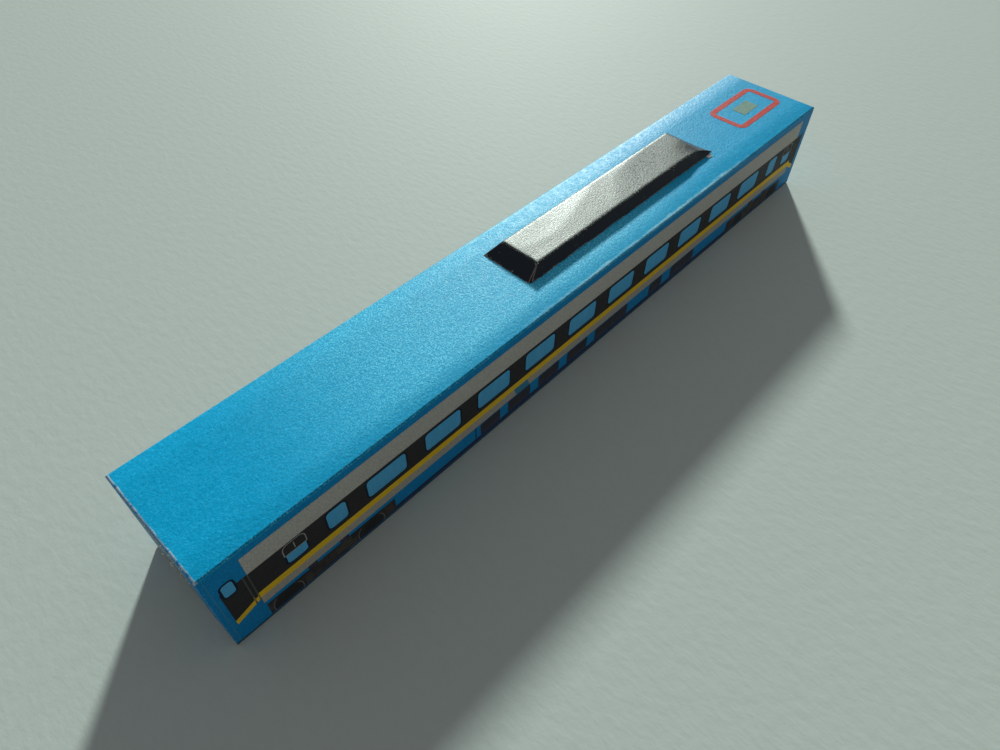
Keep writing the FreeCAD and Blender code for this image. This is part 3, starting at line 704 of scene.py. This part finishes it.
def fibre_tree():
    """Loose fibres along a line of edges: bent hairs of random length and lean."""
    tree = bpy.data.node_groups.new("loose_fibres", "GeometryNodeTree")
    sockets = tree.interface
    sockets.new_socket(name="Line", in_out="INPUT", socket_type="NodeSocketGeometry")
    for name, kind in (("Count", "NodeSocketInt"), ("Length", "NodeSocketFloat"),
                       ("Radius", "NodeSocketFloat"), ("Seed", "NodeSocketInt"),
                       ("Material", "NodeSocketMaterial")):
        sockets.new_socket(name=name, in_out="INPUT", socket_type=kind)
    sockets.new_socket(name="Fibres", in_out="OUTPUT", socket_type="NodeSocketGeometry")
    given = tree.nodes.new("NodeGroupInput").outputs
    line = put(tree, "GeometryNodeMeshToCurve", {"Mesh": given["Line"]})
    dots = put(tree, "GeometryNodeResampleCurve", {"Curve": line.outputs[0], "Count": given["Count"]})
    shift = put(tree, "FunctionNodeRandomValue", {"Min": (-0.0006, -0.00008, -0.00006),
                                                  "Max": (0.0006, 0.00008, 0.00003),
                                                  "Seed": given["Seed"]}, data_type="FLOAT_VECTOR")
    moved = put(tree, "GeometryNodeSetPosition",
                {"Geometry": dots.outputs[0], "Offset": shift.outputs[0]})
    hair = put(tree, "GeometryNodeCurveQuadraticBezier",
               {"Resolution": 4, "Start": (0, 0, 0), "Middle": (0.5, 0.1, 0.3), "End": (1, -0.1, 0.12)})
    ring = put(tree, "GeometryNodeCurvePrimitiveCircle", {"Resolution": 3, "Radius": given["Radius"]})
    scale = put(tree, "ShaderNodeCombineXYZ", {axis: given["Length"] for axis in range(3)})
    sized = put(tree, "GeometryNodeTransform", {"Geometry": hair.outputs[0], "Scale": scale.outputs[0]})
    tube = put(tree, "GeometryNodeCurveToMesh", {"Curve": sized.outputs[0],
                                                 "Profile Curve": ring.outputs[0], "Fill Caps": True})
    turn = put(tree, "FunctionNodeRandomValue", {"Min": (-0.5, -0.35, -3.1), "Max": (0.5, 0.1, 3.1),
                                                 "Seed": given["Seed"]}, data_type="FLOAT_VECTOR")
    sizes = put(tree, "FunctionNodeRandomValue", {2: 0.15, 3: 1.0, "Seed": given["Seed"]})
    spread = put(tree, "GeometryNodeInstanceOnPoints",
                 {"Points": moved.outputs[0], "Instance": tube.outputs[0],
                  "Rotation": turn.outputs[0], "Scale": sizes.outputs[1]})
    real = put(tree, "GeometryNodeRealizeInstances", {"Geometry": spread.outputs[0]})
    coat = put(tree, "GeometryNodeSetMaterial", {"Geometry": real.outputs[0],
                                                 "Material": given["Material"]})
    out = tree.nodes.new("NodeGroupOutput")
    tree.links.new(coat.outputs[0], out.inputs[0])
    return tree


def grown(tree, name, ends, values):
    """Runs a geometry tree on the straight line between two ends, and returns the plain mesh."""
    data = bpy.data.meshes.new(name)
    data.from_pydata(ends, ((0, 1),), [])
    carrier = bpy.data.objects.new(name, data)
    bpy.context.scene.collection.objects.link(carrier)
    modifier = carrier.modifiers.new("Make", "NODES")
    modifier.node_group = tree
    for item in tree.interface.items_tree:
        if item.in_out == "INPUT" and item.name in values:
            modifier[item.identifier] = values[item.name]
    return baked(carrier, name)


class COACH_OT_card(bpy.types.Operator):
    """Finish the box's card: roof, sides, ends and base"""
    bl_idname = "coach.card"
    bl_label = "Card box"

    def execute(self, context):
        card = context.scene.coach_card
        dress(blue_card(card, "blue_roof_card", card.blue), "roof_panel")
        # Sides and ends take the deeper blue, which is partly painted shade
        dress(blue_card(card, "shaded_blue_side_card", card.shaded_side_blue), *both("side_panel"),
              "end_panel_left", "end_panel_right")
        dress(black_base(card), "base_panel")
        return {"FINISHED"}


class COACH_OT_print(bpy.types.Operator):
    """Finish each colour printed on the sides, ends and roof"""
    bl_idname = "coach.side_print"
    bl_label = "Printed colours"

    def execute(self, context):
        card = context.scene.coach_card
        dress(plain_print("grey_print", card.grey, card, 0.9), *both("grey_band"))
        # The band under the windows takes the painted-shade grey
        dress(plain_print("low_grey_print", card.shaded_low_grey, card, 0.9), *both("lower_grey_band"))
        dress(plain_print("gangway_print", ink(158, 166, 160), card, 0.4),
              "gangway_surround_left", "gangway_surround_right")
        dress(plain_print("door_print", ink(112, 124, 126), card, 0.4), "gangway_door_left",
              "gangway_door_right")
        dress(plain_print("charcoal_print", card.charcoal, card), *both("black_band"))
        dress(plain_print("yellow_print", card.yellow, card), *both("yellow_stripe"))
        dress(post_print(card), *both("door_posts"))
        dress(plain_print("outline_print", card.outline, card, 0.15), *both("window_lines"))
        dress(pane_print(card), *both("window_panes"))
        dress(plain_print("light_line_print", card.light_line, card), *both("vent_frames"))
        dress(plain_print("teal_print", card.teal, card), *both("filler_flap"))
        dress(plain_print("navy_print", card.navy, card), *both("sole_strip"))
        dress(underframe_print(card), *both("underframe_boxes"))
        dress(bogie_print(card), *both("bogies"))
        dress(plain_print("olive_print", card.olive, card), *both("bogie_springs"), *both("bolsters"))
        dress(plain_print("rim_print", card.rim, card), *both("wheel_rims"))
        dress(plain_print("red_print", card.red, card, 0.5), "roof_hatch_frame")
        dress(plain_print("hatch_print", card.hatch, card, 0.5), "roof_hatch_panel")
        return {"FINISHED"}


class COACH_OT_lid(bpy.types.Operator):
    """Fold the black lid from one sheet, with its glue flap and white tab"""
    bl_idname = "coach.lid"
    bl_label = "Folded lid"

    def execute(self, context):
        card, lid = context.scene.coach_card, context.scene.coach_lid
        coat = lid_card(card, lid, "coated_black_card", TOP_GLOSS)
        slope = lid_card(card, lid, "coated_black_slope", SLOPE_GLOSS)
        sheet = folded_lid(lid)
        add_piece("folded_lid", sheet, (coat, slope),
                  ("lid_top", "lid_side_near", "lid_side_far", "lid_end_left", "lid_end_right"))
        sheet.set_sharp_from_angle(angle=math.radians(50))
        self.flap(lid, slope)
        self.tab(card)
        return {"FINISHED"}

    def flap(self, lid, coat):
        """The glue flap that shows dark in the open near corner."""
        low_x, low_y = LID_LOW
        start, _, near, _ = lid_folds(lid)
        inset = lid.card * 1.3
        head = Vector((start, near + inset, LID_TOP - lid.card * 1.2))
        foot = Vector((low_x + lid.card, low_y + inset, ROOF_Z + 0.05 * MM))
        across = Vector((FLAP_WIDTH, 0, 0))
        mesh = bmesh.new()
        patch(mesh, (head, head + across, foot, foot + across), 8, 6, lambda point, u, v: point)
        flap = scene_object(mesh, "lid_glue_flap")
        give_wall(flap, lid.card * 0.8)
        add_piece("lid_glue_flap", baked(flap, "lid_glue_flap"), (coat,))

    def tab(self, card):
        """The white tab beside the near slope: a torn, slightly crumpled scrap of card."""
        low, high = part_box("lid_tab")
        top, foot = high[2] - 0.06 * MM, high[2] - 0.12 * MM
        mesh = bmesh.new()

        def crumple(point, u, v):
            lift = noise.noise(Vector((u * 3.0, v * 3.0, 2.0))) * 0.05 * MM
            torn = noise.noise(Vector((u * 5.0, v * 5.0, 7.0))) * 0.1 * MM
            edge = 1.0 if u in (0.0, 1.0) or v == 1.0 else 0.0
            return Vector((point.x + torn * edge * (0.5 - u), point.y + torn * edge,
                           min(high[2], point.z + lift)))

        patch(mesh, ((low[0], high[1], top), (high[0], high[1], top), (low[0], low[1], foot),
                     (high[0], low[1], foot)), 12, 6, crumple)
        scrap = scene_object(mesh, "lid_tab_scrap")
        give_wall(scrap, 0.12 * MM)
        add_piece("lid_tab_scrap", baked(scrap, "lid_tab_scrap"), (paper_core(card, "white_tab"),),
                  ("lid_tab",))


class COACH_OT_fibres(bpy.types.Operator):
    """Grow the frayed white fibres along the lid's folds and the roof's fold at the door end"""
    bl_idname = "coach.fibres"
    bl_label = "Frayed fibres"

    def execute(self, context):
        card, lid = context.scene.coach_card, context.scene.coach_lid
        tree = fibre_tree()
        core = paper_core(card, "loose_paper_fibre")
        start, stop, near, far = lid_folds(lid)
        top = LID_TOP - 0.05 * MM
        lines = {
            "fibres_near_fold": ((start, near, top), (stop, near, top), lid.fibre_count, 5, 1.0),
            "fibres_far_fold": ((start, far, top), (stop, far, top), lid.fibre_count // 3, 6, 0.8),
            "fibres_door_fold": ((start, near, top), (start, far, top), lid.fibre_count // 8, 7, 0.9),
            "fibres_plain_fold": ((stop, near, top), (stop, far, top), lid.fibre_count // 8, 8, 0.9),
            "fibres_roof_end": ((0.1 * MM - END_X, 0.2 * MM - SIDE_Y, ROOF_Z - 0.06 * MM),
                                (0.1 * MM - END_X, SIDE_Y - 0.2 * MM, ROOF_Z - 0.06 * MM),
                                lid.fibre_count, 9, 0.5),
        }
        for name, (first, last, count, seed, part) in lines.items():
            mesh = grown(tree, name, (first, last), {
                "Count": count, "Length": lid.fibre_length * part, "Radius": FIBRE_RADIUS,
                "Seed": seed, "Material": core})
            add_piece(name, mesh, (core,))
        return {"FINISHED"}


class COACH_OT_stage(bpy.types.Operator):
    """Set the table, the lamps and the camera"""
    bl_idname = "coach.stage"
    bl_label = "Table and lamps"

    def execute(self, context):
        scene, table = context.scene, context.scene.coach_table
        scene.view_settings.view_transform = "Standard"
        self.table(table)
        self.key(scene, table)
        self.fill(scene, table)
        self.room(scene, table)
        self.camera(scene)
        return {"FINISHED"}

    def table(self, table):
        """A wide sheet of pale paper with a slight grain."""
        mesh = bmesh.new()
        bmesh.ops.create_grid(mesh, x_segments=2, y_segments=2, size=TABLE_REACH)
        top = scene_object(mesh, "table")
        material, tree, shader = new_material("table_paper")
        place = millimetres(tree)[0]
        fibre = cloud(tree, place, 0.8, 4, stretch=(1, 0.5, 1))
        tone = blend(tree, ramp(tree, fibre, 0.4, 0.65, 0.0, 0.25), table.paper,
                     tinted(table.paper, 0.93))
        tree.links.new(tone, shader.inputs["Base Color"])
        shader.inputs["Roughness"].default_value = 0.72
        shader.inputs["Specular IOR Level"].default_value = 0.3
        roughen(tree, shader, fibre, TABLE_GRAIN)
        top.data.materials.append(material)

    def key(self, scene, table):
        """Low light from behind, to the right, as soft as a large window far off."""
        light = bpy.data.lights.new("key", "SUN")
        light.energy, light.color = table.key, (0.93, 1.0, 0.95)
        light.angle = math.radians(KEY_WIDTH)
        lamp = bpy.data.objects.new("key", light)
        lamp.rotation_euler = (math.radians(90 - KEY_HEIGHT), 0, math.radians(90 + KEY_TURN))
        scene.collection.objects.link(lamp)

    def fill(self, scene, table):
        """A weak square lamp beside the camera, turned to the coach."""
        light = bpy.data.lights.new("fill", "AREA")
        light.shape, light.size, light.size_y = "RECTANGLE", FILL_SIZE, FILL_SIZE
        light.energy = table.fill
        lamp = bpy.data.objects.new("fill", light)
        lamp.location = FILL_PLACE
        lamp.rotation_euler = (-FILL_PLACE).to_track_quat("-Z", "Y").to_euler()
        scene.collection.objects.link(lamp)

    def room(self, scene, table):
        """Level light for the object, and a pale room for what looks past the table."""
        world = bpy.data.worlds.new("room")
        world.use_nodes = True
        tree = world.node_tree
        level = tree.nodes["Background"]
        level.inputs["Color"].default_value = (1.0, 0.97, 1.0, 1.0)
        level.inputs["Strength"].default_value = table.sky
        pale = put(tree, "ShaderNodeBackground", {"Color": (*table.backdrop, 1), "Strength": 1.0})
        path = put(tree, "ShaderNodeLightPath").outputs
        seen = calc(tree, "MAXIMUM", path["Is Camera Ray"], path["Is Glossy Ray"])
        seen = calc(tree, "MAXIMUM", seen, path["Is Transmission Ray"])
        both_rooms = put(tree, "ShaderNodeMixShader", {0: seen, 1: level.outputs[0], 2: pale.outputs[0]})
        tree.links.new(both_rooms.outputs[0], tree.nodes["World Output"].inputs["Surface"])
        scene.world = world

    def camera(self, scene):
        """The photograph's view of the coach."""
        lens = bpy.data.cameras.new("camera")
        lens.lens, lens.sensor_width = LENS, SENSOR
        lens.clip_start, lens.clip_end = 0.005, 20.0
        camera = bpy.data.objects.new("camera", lens)
        back = CAMERA_RIGHT.cross(CAMERA_UP).normalized()
        turn = Matrix((CAMERA_RIGHT, CAMERA_UP, back)).transposed().to_4x4()
        camera.matrix_world = Matrix.Translation(CAMERA_PLACE) @ turn
        scene.collection.objects.link(camera)
        scene.camera = camera


class COACH_PT_panel(bpy.types.Panel):
    """Lists the coach's sizes, colours and making steps"""
    bl_idname = "COACH_PT_panel"
    bl_label = "Card coach"
    bl_space_type = "VIEW_3D"
    bl_region_type = "UI"
    bl_category = "Card coach"

    def draw(self, context):
        for settings in (context.scene.coach_card, context.scene.coach_lid,
                         context.scene.coach_table):
            box = self.layout.box()
            for name in settings.bl_rna.properties.keys():
                if name not in ("rna_type", "name"):
                    box.prop(settings, name)
        for step in STEPS:
            self.layout.operator(step.bl_idname)


STEPS = (COACH_OT_card, COACH_OT_print, COACH_OT_lid, COACH_OT_fibres, COACH_OT_stage)
CLASSES = (CardSettings, LidSettings, TableSettings, *STEPS, COACH_PT_panel)


def register():
    for item in CLASSES:
        bpy.utils.register_class(item)
    bpy.types.Scene.coach_card = PointerProperty(type=CardSettings)
    bpy.types.Scene.coach_lid = PointerProperty(type=LidSettings)
    bpy.types.Scene.coach_table = PointerProperty(type=TableSettings)


def unregister():
    for name in ("coach_card", "coach_lid", "coach_table"):
        delattr(bpy.types.Scene, name)
    for item in reversed(CLASSES):
        bpy.utils.unregister_class(item)


def main():
    """Makes every piece in order."""
    register()
    bpy.ops.coach.card()
    bpy.ops.coach.side_print()
    bpy.ops.coach.lid()
    bpy.ops.coach.fibres()
    bpy.ops.coach.stage()


if __name__ == "__main__":
    main()
